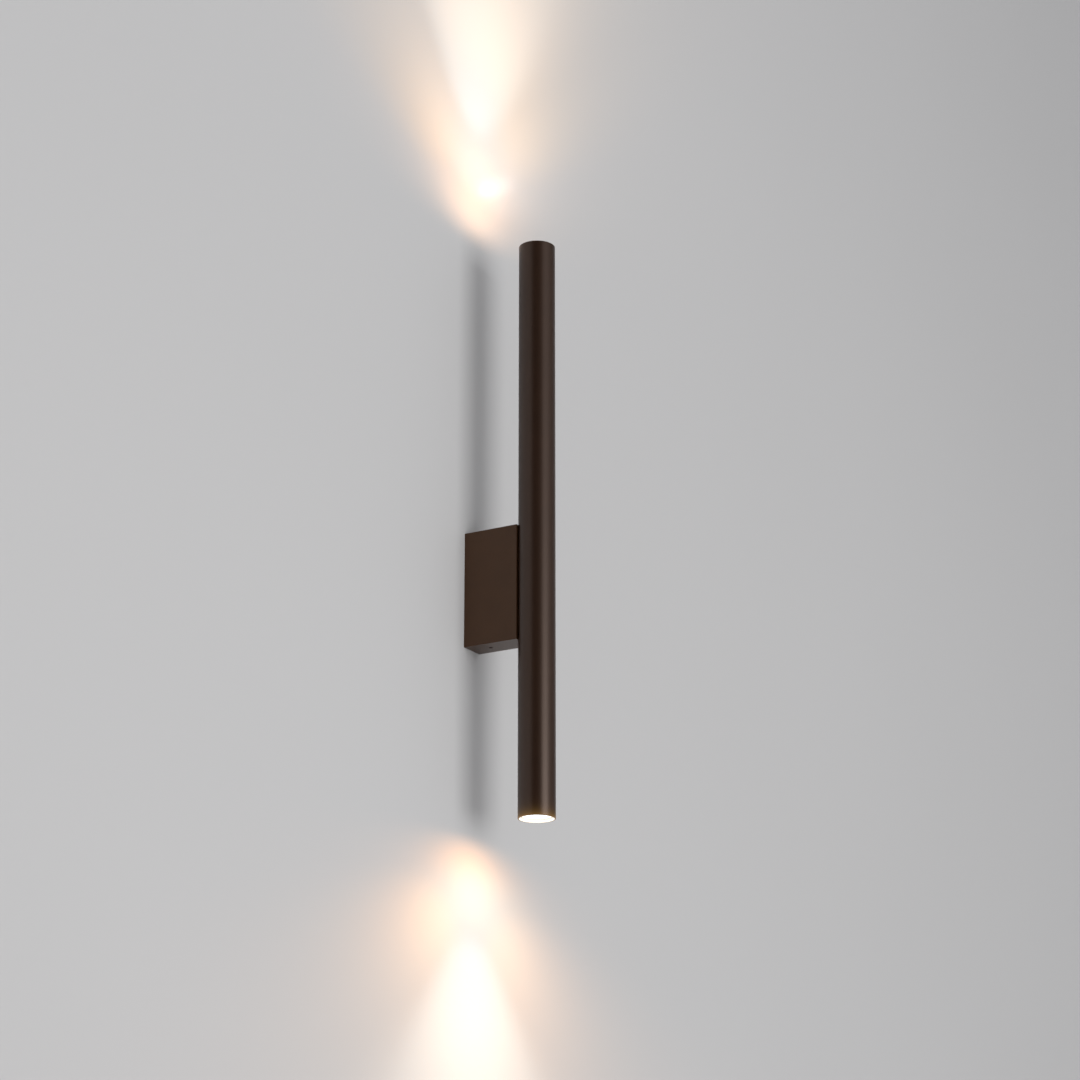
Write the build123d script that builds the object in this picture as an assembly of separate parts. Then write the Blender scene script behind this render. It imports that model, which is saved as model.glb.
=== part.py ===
from build123d import *
from math import pi
import os

# Tube wall light: a slim round tube with a light in each end, held off the wall by a narrow box.
#
# Frame: +Z is up, the wall is the plane Y = 0 and the light faces -Y. X = 0 is the plane of symmetry.
# The origin lies on the wall, halfway between the two wall screws and at the middle of the box.
# Lengths are in millimetres. A "depth" is a distance from the wall, measured along -Y.

# ---------------------------------------------------------------- driving dimensions

# tube
tube_diameter = 30.0
tube_wall = 1.5
tube_length = 485.0
tube_below_centre = 193.0        # from the middle of the box down to the tube's lower end
tube_edge_break = 0.3

# wall box
box_width = 24.0
box_height = 96.0
box_depth = 49.0
box_wall = 1.5
box_edge_radius = 0.4
nest_depth = 3.2                 # how far the tube sits in the box's front
front_wall = 2.5                 # thickness of the front wall behind the saddle
saddle_clearance = 0.1

# clearances that several pieces share
slip_gap = 0.3                   # a piece that drops into a housing
fit_gap = 0.15                   # a turned piece in its bore
thread_gap = 0.05                # a screw in its tapped hole
hole_gap = 0.2                   # a screw in its plain hole

# screws: radius, head radius and head height
m4_radius, m4_head_radius, m4_head_height = 2.0, 3.5, 2.2
m3_radius, m3_head_radius, m3_head_height = 1.5, 2.7, 1.8
m2_radius, m2_head_radius, m2_head_height = 1.0, 1.7, 1.3
socket_share = 0.62              # a hex socket's radius, as a share of its screw's radius
socket_depth_share = 0.6         # a hex socket's depth, as a share of the head's height
head_rounding_share = 0.45       # the head's rounding, as a share of its height
tip_chamfer_share = 0.2          # the tip's chamfer, as a share of the screw's radius

# wall plate
plate_thickness = 1.5
tab_width = 14.0
tab_end_radius = 3.0
bend_radius = 0.6                # inner radius of the plate's bends
fixing_screw_depth = 18.0        # the grub screws' distance from the wall
fixing_screw_length = 5.0
fixing_screw_sunk = 0.4          # how far the grub screws lie below the box's surface
fixing_screw_tip = 0.6           # chamfer at the grub screw's tip
fixing_socket_depth = 2.0
tab_past_screw = 6.0
slot_width = 4.4
slot_length = 8.0
slot_from_plate_end = 10.2
dish_depth = 2.0                 # how far the cable hole's dish stands forward
dish_floor_radius = 6.9
dish_rim_radius = 8.3
dish_from_slot = 4.0

# cable grommet
grommet_bore_radius = 3.8
grommet_neck_radius = 5.2
grommet_lip_radius = 6.3
grommet_lip = 1.4
grommet_rounding = 0.4

# terminal block
pole_count = 3
block_side_gap = 0.9             # from the block to the plate's edge
block_height = 12.0
block_tall = 13.0                # how far it stands off the plate
block_from_dish = 1.5
block_foot_length = 6.0
block_foot_thickness = 2.0
block_foot_side = 1.0            # how much wider the foot is than its screw's head, on each side
block_chamfer = 1.5
block_groove_width = 0.8         # grooves between the poles
block_groove_depth = 2.0
barrel_radius = 1.9
barrel_bore_radius = 1.15
barrel_short = 1.0               # how much shorter the brass barrel is than the block, at each end
pole_axis_from_plate = 7.0
terminal_screw_radius = 1.2
terminal_screw_sunk = 1.0
terminal_screw_from_end = 3.2
screwdriver_slot_width = 0.5
screwdriver_slot_depth = 0.6

# earth connection
lug_thickness = 0.8
lug_ring_radius = 3.9
lug_barrel_radius = 1.4
lug_barrel_length = 3.5
lug_from_foot = 6.0

# leads
supply_lead_radius = 0.9
light_lead_radius = 1.0
lead_in_block = 3.0              # how far the supply and earth leads reach into the terminal block
lead_bend_share = 0.45           # a bend's radius, as a share of the straight run it turns across
earth_lead_bends = (5.0, 4.0)
earth_lead_straight = 2.2        # from the earth lead's second bend to its lug

# driver
driver_side_gap = 1.0
driver_end_space = 18.5          # from the driver's end to the box's end wall
driver_from_block = 5.2
driver_from_screw_heads = 1.1
driver_wall = 1.2
driver_lid_thickness = 1.6
driver_lid_lip = 1.5
driver_lug_length = 8.0
driver_lug_thickness = 2.0
driver_lug_side = 0.5            # how much wider a lug is than its post, on each side
driver_screw_length = 6.0
board_thickness = 1.6
board_standoff = 2.5
board_edge_gap = 0.5
part_headroom = 1.0
transformer_width = 12.0
transformer_height = 13.0
winding_width = 7.2
winding_past_core = 1.6          # how far the winding stands past the core, at each end
winding_rounding = 2.4
part_spacing = 1.0               # between neighbouring parts on the board
capacitor_radius = 3.6
capacitor_spacing = 8.0
capacitor_rounding = 0.5
film_width = 11.0
film_height = 6.0
post_radius = 3.0

# tube fixing
boss_proud = 0.4
boss_radius = 4.5
washer_thickness = 0.8
washer_radius = 3.9
tube_screw_from_post = 12.0
tube_screw_length = 10.0
nut_bar_thickness = 4.4
nut_bar_past_screw = 8.0

# bush for the light leads
bush_from_end = 5.2
bush_wall = 1.3
bush_flange_radius = 4.7
bush_flange = 1.2
bush_rounding = 0.5
bush_past_tube = 1.2

# light engines: "inset" is a distance in from the tube's end, along the tube
cap_inset = 2.0
cap_wall = 0.65
cap_lip = 0.8
cap_lip_width = 0.5
glass_thickness = 1.5
lens_height = 9.6
lens_flange = 1.0
lens_mouth_radius = 10.9
lens_foot_radius = 4.2
lens_bulge = 0.9                 # how far the lens's side bows outward
lens_cavity_radius = 2.6
lens_cavity_height = 4.0
lens_crown = 0.9                 # how far the hollow's end bulges back towards the LED
holder_wall = 0.8
holder_gap = 0.3
chip_size = 5.0
chip_thickness = 0.8
dome_radius = 1.6
led_board_radius = 11.9
led_board_thickness = 1.6
board_screw_place = 9.2          # the small screws' distance from the tube's axis
board_screw_length = 5.0
lead_hole_place = 8.2            # the lead hole's distance from the tube's axis, on the front side
spigot_length = 5.0
heat_sink_length = 30.0
ring_radius = 0.85               # half the O-ring's thickness
ring_from_spigot = 1.2
fin_count = 5
fin_gap = 2.0
fin_thickness = 1.6
fin_depth = 2.0

# ---------------------------------------------------------------- sizes that follow

tube_radius = tube_diameter / 2
bore_radius = tube_radius - tube_wall
tube_low = -tube_below_centre
tube_high = tube_low + tube_length

saddle_depth = box_depth - nest_depth
axis_depth = saddle_depth + tube_radius
saddle_radius = tube_radius + saddle_clearance
inner_half_width = box_width / 2 - box_wall
inner_half_height = box_height / 2 - box_wall
front_inner_depth = saddle_depth - saddle_clearance - front_wall

plate_half_width = inner_half_width - slip_gap
plate_half_height = inner_half_height - slip_gap
tab_length = fixing_screw_depth + tab_past_screw
slot_height = plate_half_height - slot_from_plate_end
dish_height = -slot_height + slot_length / 2 + dish_from_slot + dish_rim_radius
dish_face_depth = dish_depth + plate_thickness

block_low = dish_height + dish_rim_radius + block_from_dish
block_high = block_low + block_height
foot_high = block_high + block_foot_length
foot_screw_height = (block_high + foot_high) / 2
block_half_width = plate_half_width - block_side_gap
block_front_depth = plate_thickness + block_tall
pole_spacing = 2 * block_half_width / pole_count
pole_depth = plate_thickness + pole_axis_from_plate

lug_barrel_low = foot_high + lug_from_foot
earth_height = lug_barrel_low + lug_barrel_length + lug_ring_radius
lug_barrel_depth = plate_thickness + lug_barrel_radius

boss_face_depth = front_inner_depth - boss_proud
screw_seat_depth = boss_face_depth - washer_thickness
driver_front_depth = screw_seat_depth - m4_head_height - driver_from_screw_heads
driver_back_depth = block_front_depth + driver_from_block
driver_half_width = inner_half_width - driver_side_gap
driver_half_length = inner_half_height - driver_end_space
driver_lead_depth = (driver_front_depth + driver_back_depth) / 2
post_height = driver_half_length + driver_lug_length / 2
tube_screw_height = post_height - tube_screw_from_post
bush_height = -(inner_half_height - bush_from_end)
light_lead_spread = light_lead_radius + slip_gap      # each light lead's distance from X = 0
bush_bore_radius = light_lead_spread + light_lead_radius + hole_gap
bush_radius = bush_bore_radius + bush_wall
nut_bar_radius = bore_radius - fit_gap
nut_bar_half_length = tube_screw_height + nut_bar_past_screw

cap_radius = bore_radius - fit_gap
cap_bore_radius = cap_radius - cap_wall
glass_inset = cap_inset + cap_lip
lens_inset = glass_inset + glass_thickness
lens_end_inset = lens_inset + lens_height
chip_inset = lens_end_inset + holder_gap
board_inset = chip_inset + chip_thickness
sink_inset = board_inset + led_board_thickness
sink_end_inset = sink_inset + heat_sink_length
lead_run_depth = axis_depth + lead_hole_place
lead_hole_radius = bush_bore_radius
glass_radius = cap_bore_radius - thread_gap


# ---------------------------------------------------------------- shapes used more than once

def rod_y(radius, depth_a, depth_b, x=0.0, z=0.0):
    """A round rod square to the wall, between two depths."""
    middle = (depth_a + depth_b) / 2
    return Pos(x, -middle, z) * Rot(90, 0, 0) * Cylinder(radius, abs(depth_b - depth_a))


def rod_z(radius, low, high, x=0.0, depth=0.0):
    """An upright round rod between two heights."""
    return Pos(x, -depth, (low + high) / 2) * Cylinder(radius, high - low)


def block(width, depth_a, depth_b, low, high, x=0.0):
    """A block centred on x, between two depths and two heights."""
    size = Box(width, abs(depth_b - depth_a), high - low)
    return Pos(x, -(depth_a + depth_b) / 2, (low + high) / 2) * size


def turned(corners):
    """A turned piece: corners are (radius, height) pairs of its half section."""
    outline = Polyline(*[(radius, 0, height) for radius, height in corners], close=True)
    return revolve(make_face(outline.edges()), axis=Axis.Z)


def hex_socket(radius, depth):
    """A hexagonal recess that opens upward at height 0."""
    return Pos(0, 0, -depth) * extrude(RegularPolygon(radius, 6), amount=depth)


def cap_screw(radius, head_radius, head_height, length):
    """A button-head screw: its head stands on height 0 and its shank points down."""
    head = Pos(0, 0, head_height / 2) * Cylinder(head_radius, head_height)
    head = fillet(head.edges().group_by(Axis.Z)[-1], head_height * head_rounding_share)
    shank = Pos(0, 0, -length / 2) * Cylinder(radius, length)
    shank = chamfer(shank.edges().group_by(Axis.Z)[0], radius * tip_chamfer_share)
    socket = Pos(0, 0, head_height) * hex_socket(radius * socket_share, head_height * socket_depth_share)
    return head + shank - socket


def toward_front(piece, depth, x=0.0, z=0.0):
    """Set a screw so that its head seats at a depth and its shank points away from the wall."""
    return Pos(x, -depth, z) * Rot(-90, 0, 0) * piece


def toward_wall(piece, depth, x=0.0, z=0.0):
    """Set a screw so that its head seats at a depth and its shank points to the wall."""
    return Pos(x, -depth, z) * Rot(90, 0, 0) * piece


def lead(name, radius, points, radii):
    """A lead: straight runs joined by tangent arcs, with its ends square to what they meet."""
    path = FilletPolyline(*points, radius=radii)
    start = Plane(origin=path @ 0, z_dir=path % 0)
    wire = sweep(start * Circle(radius), path=path)
    expected = pi * radius ** 2 * path.length
    bends = ", ".join(f"{bend:.1f}" for bend in radii)
    print(f"{name}: {path.length:.0f} mm, bends {bends} mm, volume {wire.volume / expected:.3f} of expected")
    return wire


# ---------------------------------------------------------------- wall plate and what it carries

def wall_plate():
    """Steel plate behind the box: flat back, a bent tab at each end, slots and a dished cable hole."""
    flat_half = plate_half_height - plate_thickness - bend_radius
    plate = block(2 * plate_half_width, 0, plate_thickness, -flat_half, flat_half)
    plate = fillet(plate.edges().filter_by(Axis.Y), plate_thickness)

    channel = block(tab_width, 0, tab_length, -plate_half_height, plate_half_height)
    hollow_half = plate_half_height - plate_thickness
    hollow = block(tab_width, plate_thickness, tab_length, -hollow_half, hollow_half)
    back_edges = channel.edges().filter_by(Axis.X).group_by(Axis.Y)[-1]
    channel = fillet(back_edges, bend_radius + plate_thickness)
    hollow_edges = hollow.edges().filter_by(Axis.X).group_by(Axis.Y)[-1]
    channel -= fillet(hollow_edges, bend_radius)
    channel = fillet(channel.edges().filter_by(Axis.Z).group_by(Axis.Y)[0], tab_end_radius)
    plate += channel

    slot = Rot(90, 0, 0) * extrude(SlotOverall(slot_length, slot_width, rotation=90), amount=plate_thickness)
    for z in (slot_height, -slot_height):
        plate -= Pos(0, 0, z) * slot
    tapped = rod_z(m3_radius + thread_gap, hollow_half, plate_half_height, depth=fixing_screw_depth)
    plate -= tapped
    plate -= Rot(0, 180, 0) * tapped

    dish = turned([
        (grommet_neck_radius, dish_depth),
        (grommet_neck_radius, dish_face_depth),
        (dish_floor_radius, dish_face_depth),
        (dish_rim_radius + plate_thickness / 2, plate_thickness),
        (dish_rim_radius + plate_thickness / 2, 0),
        (dish_rim_radius, 0),
        (dish_floor_radius, dish_depth),
    ])
    plate -= rod_y(dish_rim_radius, 0, plate_thickness, z=dish_height)
    plate += Pos(0, 0, dish_height) * Rot(90, 0, 0) * dish
    plate -= rod_y(m3_radius + thread_gap, 0, plate_thickness, z=foot_screw_height)
    plate -= rod_y(m4_radius + thread_gap, 0, plate_thickness, z=earth_height)
    return plate


def cable_grommet():
    """Rubber grommet, with a groove that holds the edge of the dished hole."""
    back = dish_depth - grommet_lip
    front = dish_face_depth + grommet_lip
    neck = grommet_neck_radius - thread_gap
    grommet = turned([
        (grommet_bore_radius, back),
        (grommet_bore_radius, front),
        (grommet_lip_radius - grommet_rounding, front),
        (grommet_lip_radius, front - grommet_rounding),
        (grommet_lip_radius, dish_face_depth),
        (neck, dish_face_depth),
        (neck, dish_depth),
        (grommet_lip_radius, dish_depth),
        (grommet_lip_radius, back + grommet_rounding),
        (grommet_lip_radius - grommet_rounding, back),
    ])
    return Pos(0, 0, dish_height) * Rot(90, 0, 0) * grommet


def pole_places():
    """The x of each pole of the terminal block."""
    return [(pole - (pole_count - 1) / 2) * pole_spacing for pole in range(pole_count)]


def screw_heights():
    """The heights of a pole's two clamping screws."""
    return [block_low + terminal_screw_from_end, block_high - terminal_screw_from_end]


def terminal_block():
    """Moulded block: a bore for each pole, a well for each clamping screw and a foot for its screw."""
    body = block(2 * block_half_width, plate_thickness, block_front_depth, block_low, block_high)
    body = chamfer(body.edges().filter_by(Axis.X).group_by(Axis.Y)[0], block_chamfer)
    foot_depth = plate_thickness + block_foot_thickness
    foot_width = 2 * (m3_head_radius + block_foot_side)
    foot = block(foot_width, plate_thickness, foot_depth, block_high - barrel_short, foot_high)
    body += fillet(foot.edges().filter_by(Axis.Y).group_by(Axis.Z)[-1], m3_head_radius)
    for x in pole_places():
        body -= rod_z(barrel_radius + fit_gap, block_low, block_high, x=x, depth=pole_depth)
        for z in screw_heights():
            body -= rod_y(terminal_screw_radius + hole_gap, pole_depth, block_front_depth, x=x, z=z)
        if x < pole_places()[-1]:
            groove_floor = block_front_depth - block_groove_depth
            body -= block(block_groove_width, groove_floor, block_front_depth, block_low, block_high,
                          x=x + pole_spacing / 2)
    body -= rod_y(m3_radius + hole_gap, plate_thickness, foot_depth, z=foot_screw_height)
    return body


def terminal_barrels():
    """Brass barrels, one in each pole, bored for the wires and tapped for the clamping screws."""
    low, high = block_low + barrel_short, block_high - barrel_short
    barrels = []
    for x in pole_places():
        barrel = rod_z(barrel_radius, low, high, x=x, depth=pole_depth)
        barrel -= rod_z(barrel_bore_radius, low, high, x=x, depth=pole_depth)
        for z in screw_heights():
            tapped = terminal_screw_radius + thread_gap
            barrel -= rod_y(tapped, pole_depth, block_front_depth, x=x, z=z)
        barrels.append(barrel)
    return Compound(children=barrels)


def terminal_screws():
    """Slotted clamping screws, two in each pole, each touching down just above the wire."""
    head_depth = block_front_depth - terminal_screw_sunk
    tip_depth = pole_depth + barrel_bore_radius
    screws = []
    for x in pole_places():
        for z in screw_heights():
            screw = rod_y(terminal_screw_radius, tip_depth, head_depth, x=x, z=z)
            slot_floor = head_depth - screwdriver_slot_depth
            low, high = z - screwdriver_slot_width / 2, z + screwdriver_slot_width / 2
            screws.append(screw - block(2 * terminal_screw_radius, slot_floor, head_depth, low, high, x=x))
    return Compound(children=screws)


def terminal_foot_screw():
    length = plate_thickness + block_foot_thickness - thread_gap
    screw = cap_screw(m3_radius, m3_head_radius, m3_head_height, length)
    return toward_wall(screw, plate_thickness + block_foot_thickness, z=foot_screw_height)


def earth_lug():
    """Ring lug with a crimp barrel that points down to the terminal block."""
    face = plate_thickness + lug_thickness
    lug = rod_y(lug_ring_radius, plate_thickness, face, z=earth_height)
    strap_low = lug_barrel_low + lug_barrel_length / 2
    lug += block(2 * lug_barrel_radius, plate_thickness, face, strap_low, earth_height)
    barrel_high = lug_barrel_low + lug_barrel_length
    lug += rod_z(lug_barrel_radius, lug_barrel_low, barrel_high, depth=lug_barrel_depth)
    lug -= rod_y(m4_radius + hole_gap, plate_thickness, face, z=earth_height)
    lug -= rod_z(supply_lead_radius + thread_gap, lug_barrel_low, barrel_high, depth=lug_barrel_depth)
    return lug


def earth_screw():
    length = lug_thickness + plate_thickness - thread_gap
    screw = cap_screw(m4_radius, m4_head_radius, m4_head_height, length)
    return toward_wall(screw, plate_thickness + lug_thickness, z=earth_height)


# ---------------------------------------------------------------- wall box

def wall_box():
    """Box open to the wall, with a saddle for the tube and bosses inside its curved front wall."""
    saddle = Pos(0, -axis_depth) * Circle(saddle_radius)
    outline = Pos(0, -box_depth / 2) * Rectangle(box_width, box_depth) - saddle
    box = Pos(0, 0, -box_height / 2) * extrude(outline, amount=box_height)
    corners = box.edges().filter_by(Axis.Z)
    corners = [edge for edge in corners if abs(edge.center().X) > box_width / 2 - box_edge_radius]
    box = fillet([edge for edge in corners if edge.center().Y < -box_depth / 2], box_edge_radius)
    ends = box.edges().group_by(Axis.Z)
    rim = [edge for group in (ends[0], ends[-1]) for edge in group if edge.center().Y < -box_edge_radius]
    straight = [edge for edge in rim if abs(edge.center().X) > box_width / 2 - 2 * box_edge_radius]
    box = chamfer(straight, box_edge_radius / 2)

    flat_depth = box_depth - front_wall
    pocket = Pos(0, -flat_depth / 2) * Rectangle(2 * inner_half_width, flat_depth)
    pocket -= Pos(0, -axis_depth) * Circle(saddle_radius + front_wall)
    box -= Pos(0, 0, -inner_half_height) * extrude(pocket, amount=2 * inner_half_height)

    wall_middle = front_inner_depth + front_wall / 2
    for z in (tube_screw_height, -tube_screw_height):
        box += rod_y(boss_radius, boss_face_depth, wall_middle, z=z)
        box -= rod_y(m4_radius + hole_gap, boss_face_depth, axis_depth, z=z)
    for z in (post_height, -post_height):
        box += rod_y(post_radius, driver_front_depth, wall_middle, z=z)
        tapped_depth = driver_front_depth - driver_lug_thickness + driver_screw_length + thread_gap
        box -= rod_y(m3_radius + thread_gap, driver_front_depth, tapped_depth, z=z)
    box += rod_y(bush_flange_radius, boss_face_depth, wall_middle, z=bush_height)
    box -= rod_y(bush_radius + fit_gap, boss_face_depth, axis_depth, z=bush_height)

    hole = rod_z(m3_radius + hole_gap, inner_half_height, box_height / 2, depth=fixing_screw_depth)
    box -= hole
    return box - Rot(0, 180, 0) * hole


def box_fixing_screws():
    """Grub screws that hold the box to the plate's tabs, one at the top and one at the bottom."""
    top = box_height / 2 - fixing_screw_sunk
    screw = rod_z(m3_radius, top - fixing_screw_length, top, depth=fixing_screw_depth)
    screw = chamfer(screw.edges().group_by(Axis.Z)[0], fixing_screw_tip)
    socket = hex_socket(m3_radius * socket_share, fixing_socket_depth)
    screw -= Pos(0, -fixing_screw_depth, top) * socket
    return Compound(children=[screw, Rot(0, 180, 0) * screw])


# ---------------------------------------------------------------- driver

def driver_case():
    """Moulded tray, open to the wall, with a lug at each end and a hole for the leads in each end wall."""
    lid_depth = driver_back_depth + driver_lid_thickness
    half_length = driver_half_length
    case = block(2 * driver_half_width, lid_depth, driver_front_depth, -half_length, half_length)
    case = fillet(case.edges().filter_by(Axis.Y), driver_wall)
    lug_end = half_length + driver_lug_length
    lug_back = driver_front_depth - driver_lug_thickness
    lug_width = 2 * (post_radius + driver_lug_side)
    lugs = block(lug_width, lug_back, driver_front_depth, -lug_end, lug_end)
    case += fillet(lugs.edges().filter_by(Axis.Y), post_radius)
    inner_half = half_length - driver_wall
    inner_width = 2 * (driver_half_width - driver_wall)
    floor_depth = driver_front_depth - driver_wall
    case -= block(inner_width, lid_depth, floor_depth, -inner_half, inner_half)
    rest_size = 2 * driver_wall
    for x in (inner_width / 2 - driver_wall, driver_wall - inner_width / 2):
        for low in (-inner_half, inner_half - rest_size):
            rest = block(rest_size, floor_depth - board_standoff, floor_depth, low, low + rest_size, x=x)
            case += rest
    for z in (post_height, -post_height):
        case -= rod_y(m3_radius + hole_gap, lug_back, driver_front_depth, z=z)
    for x in (pole_places()[0], pole_places()[-1]):
        hole = supply_lead_radius + fit_gap
        case -= rod_z(hole, inner_half, half_length, x=x, depth=driver_lead_depth)
    for x in (light_lead_spread, -light_lead_spread):
        hole = light_lead_radius + fit_gap
        case -= rod_z(hole, -half_length, -inner_half, x=x, depth=driver_lead_depth)
    return case


def driver_lid():
    """Lid with a lip that drops inside the tray."""
    lid_depth = driver_back_depth + driver_lid_thickness
    lid = block(2 * driver_half_width, driver_back_depth, lid_depth, -driver_half_length, driver_half_length)
    lid = fillet(lid.edges().filter_by(Axis.Y), driver_wall)
    lip_half_width = driver_half_width - driver_wall - fit_gap
    lip_half = driver_half_length - driver_wall - fit_gap
    lip = block(2 * lip_half_width, lid_depth, lid_depth + driver_lid_lip, -lip_half, lip_half)
    inner = block(2 * (lip_half_width - driver_wall), lid_depth, lid_depth + driver_lid_lip,
                  -(lip_half - driver_wall), lip_half - driver_wall)
    return lid + (lip - inner)


def board_depths():
    """The driver board's two faces: the one towards the wall, and the one that rests in the case."""
    rest_depth = driver_front_depth - driver_wall - board_standoff
    return rest_depth - board_thickness, rest_depth


def driver_board():
    face_depth, rest_depth = board_depths()
    half_width = driver_half_width - driver_wall - board_edge_gap
    half_length = driver_half_length - driver_wall - board_edge_gap
    return block(2 * half_width, face_depth, rest_depth, -half_length, half_length)


def part_top_depth():
    """How close to the wall the tallest parts on the driver board reach."""
    return driver_back_depth + driver_lid_thickness + part_headroom


def driver_transformer():
    """Transformer: a ferrite core round a taller winding."""
    face_depth, top_depth = board_depths()[0], part_top_depth()
    half = transformer_height / 2
    core = block(transformer_width, face_depth, top_depth + part_headroom, -half, half)
    winding_half = half + winding_past_core
    winding = block(winding_width, face_depth, top_depth, -winding_half, winding_half)
    return core + fillet(winding.edges().filter_by(Axis.Y), winding_rounding)


def driver_capacitors():
    """Electrolytic capacitors below the transformer, and a film capacitor above it."""
    face_depth, top_depth = board_depths()[0], part_top_depth() + part_headroom
    film_low = transformer_height / 2 + winding_past_core + part_spacing
    cans = []
    for side in (1, -1):
        can = rod_y(capacitor_radius, face_depth, top_depth, x=side * capacitor_spacing / 2,
                    z=-(film_low + capacitor_radius))
        cans.append(fillet(can.edges().group_by(Axis.Y)[-1], capacitor_rounding))
    film = block(film_width, face_depth, top_depth + part_headroom, film_low, film_low + film_height)
    return Compound(children=cans + [film])


def driver_screws():
    """Screws through the driver's lugs into the posts on the box's front wall."""
    screw = cap_screw(m3_radius, m3_head_radius, m3_head_height, driver_screw_length)
    seat = driver_front_depth - driver_lug_thickness
    return Compound(children=[toward_front(screw, seat, z=z) for z in (post_height, -post_height)])


# ---------------------------------------------------------------- tube and its fixing

def tube():
    """Painted aluminium tube, with holes in its back for the two screws and the leads' bush."""
    shell = rod_z(tube_radius, tube_low, tube_high, depth=axis_depth)
    shell -= rod_z(bore_radius, tube_low, tube_high, depth=axis_depth)
    ends = shell.edges().group_by(Axis.Z)
    shell = chamfer(list(ends[0]) + list(ends[-1]), tube_edge_break)
    for z in (tube_screw_height, -tube_screw_height):
        shell -= rod_y(m4_radius + hole_gap, saddle_depth, axis_depth, z=z)
    return shell - rod_y(bush_radius + fit_gap, saddle_depth, axis_depth, z=bush_height)


def tube_nut_bar():
    """Bar that lies against the inside of the tube, tapped for the two screws."""
    end = nut_bar_half_length
    near = axis_depth - nut_bar_radius
    bar = rod_z(nut_bar_radius, -end, end, depth=axis_depth)
    bar &= block(2 * nut_bar_radius, near, near + nut_bar_thickness, -end, end)
    for z in (tube_screw_height, -tube_screw_height):
        bar -= rod_y(m4_radius + thread_gap, near, near + nut_bar_thickness, z=z)
    return bar


def tube_washers():
    rings = []
    for z in (tube_screw_height, -tube_screw_height):
        ring = rod_y(washer_radius, screw_seat_depth, boss_face_depth, z=z)
        rings.append(ring - rod_y(m4_radius + hole_gap, screw_seat_depth, boss_face_depth, z=z))
    return Compound(children=rings)


def tube_screws():
    """Screws that pull the nut bar, and so the tube, into the saddle."""
    screw = cap_screw(m4_radius, m4_head_radius, m4_head_height, tube_screw_length)
    places = (tube_screw_height, -tube_screw_height)
    return Compound(children=[toward_front(screw, screw_seat_depth, z=z) for z in places])


def lead_bush():
    """Flanged plastic bush that lines the way from the box into the tube."""
    tail_depth = saddle_depth + tube_wall + bush_past_tube
    flange_depth = boss_face_depth - bush_flange
    bush = rod_y(bush_flange_radius, flange_depth, boss_face_depth, z=bush_height)
    bush = fillet(bush.edges().group_by(Axis.Y)[-1], bush_rounding)
    bush += rod_y(bush_radius, boss_face_depth, tail_depth, z=bush_height)
    return bush - rod_y(bush_bore_radius, flange_depth, tail_depth, z=bush_height)


# ---------------------------------------------------------------- light engines

def lens_side_radius(inset):
    """The lens's radius at an inset: a straight taper that bows outward in the middle."""
    share = (inset - lens_inset - lens_flange) / (lens_height - lens_flange)
    bow = 4 * lens_bulge * share * (1 - share)
    return lens_mouth_radius + (lens_foot_radius - lens_mouth_radius) * share + bow


def side_arc(offset, mouth_inset):
    """The lens's bowed side, from its foot to a mouth, moved outward by an offset."""
    middle = (mouth_inset + lens_end_inset) / 2
    insets = (lens_end_inset, middle, mouth_inset)
    return ThreePointArc(*[(lens_side_radius(inset) + offset, 0, inset) for inset in insets])


def lens():
    """Collimating lens: a flat flanged face, a bowed reflecting side and a hollow over the LED."""
    flange_radius = cap_bore_radius - fit_gap
    flange_inset = lens_inset + lens_flange
    side = side_arc(0, flange_inset)
    cavity_top = lens_end_inset - lens_cavity_height
    crown = cavity_top + lens_crown
    outline = [
        Polyline(side @ 1, (flange_radius, 0, flange_inset), (flange_radius, 0, lens_inset),
                 (0, 0, lens_inset), (0, 0, crown)),
        ThreePointArc((0, 0, crown), (lens_cavity_radius / 2, 0, crown - lens_crown / 4),
                      (lens_cavity_radius, 0, cavity_top)),
        Polyline((lens_cavity_radius, 0, cavity_top), (lens_cavity_radius, 0, lens_end_inset), side @ 0),
        side,
    ]
    edges = [edge for curve in outline for edge in curve.edges()]
    return revolve(make_face(edges), axis=Axis.Z)


def lens_holder():
    """White cup that carries the lens's flange and stands on the LED board."""
    flange_inset = lens_inset + lens_flange
    rim_inset = flange_inset + holder_wall
    rim_radius = cap_bore_radius - fit_gap
    inner = side_arc(holder_gap, flange_inset)
    outer = side_arc(holder_gap + holder_wall, rim_inset)
    foot_radius = lens_foot_radius + holder_gap
    outline = [
        inner,
        Polyline(inner @ 1, (rim_radius, 0, flange_inset), (rim_radius, 0, rim_inset), outer @ 1),
        outer,
        Polyline(outer @ 0, (foot_radius + holder_wall, 0, board_inset), (foot_radius, 0, board_inset),
                 inner @ 0),
    ]
    edges = [edge for curve in outline for edge in curve.edges()]
    return revolve(make_face(edges), axis=Axis.Z)


def lens_cap():
    """Thin-walled cap that slides over the heat sink's spigot and holds the glass and the lens."""
    end = sink_inset + spigot_length - fit_gap
    lip_radius = cap_bore_radius - cap_lip_width
    return turned([
        (lip_radius, cap_inset),
        (cap_radius, cap_inset),
        (cap_radius, end),
        (cap_bore_radius, end),
        (cap_bore_radius, glass_inset),
        (lip_radius, glass_inset),
    ])


def cover_glass():
    return rod_z(glass_radius, glass_inset, lens_inset)


def led_board():
    """Round metal-core board, with holes for its two screws and for the lead."""
    board = rod_z(led_board_radius, board_inset, sink_inset)
    for x in (board_screw_place, -board_screw_place):
        board -= rod_z(m2_radius + hole_gap, board_inset, sink_inset, x=x)
    return board - rod_z(lead_hole_radius, board_inset, sink_inset, depth=lead_hole_place)


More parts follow.
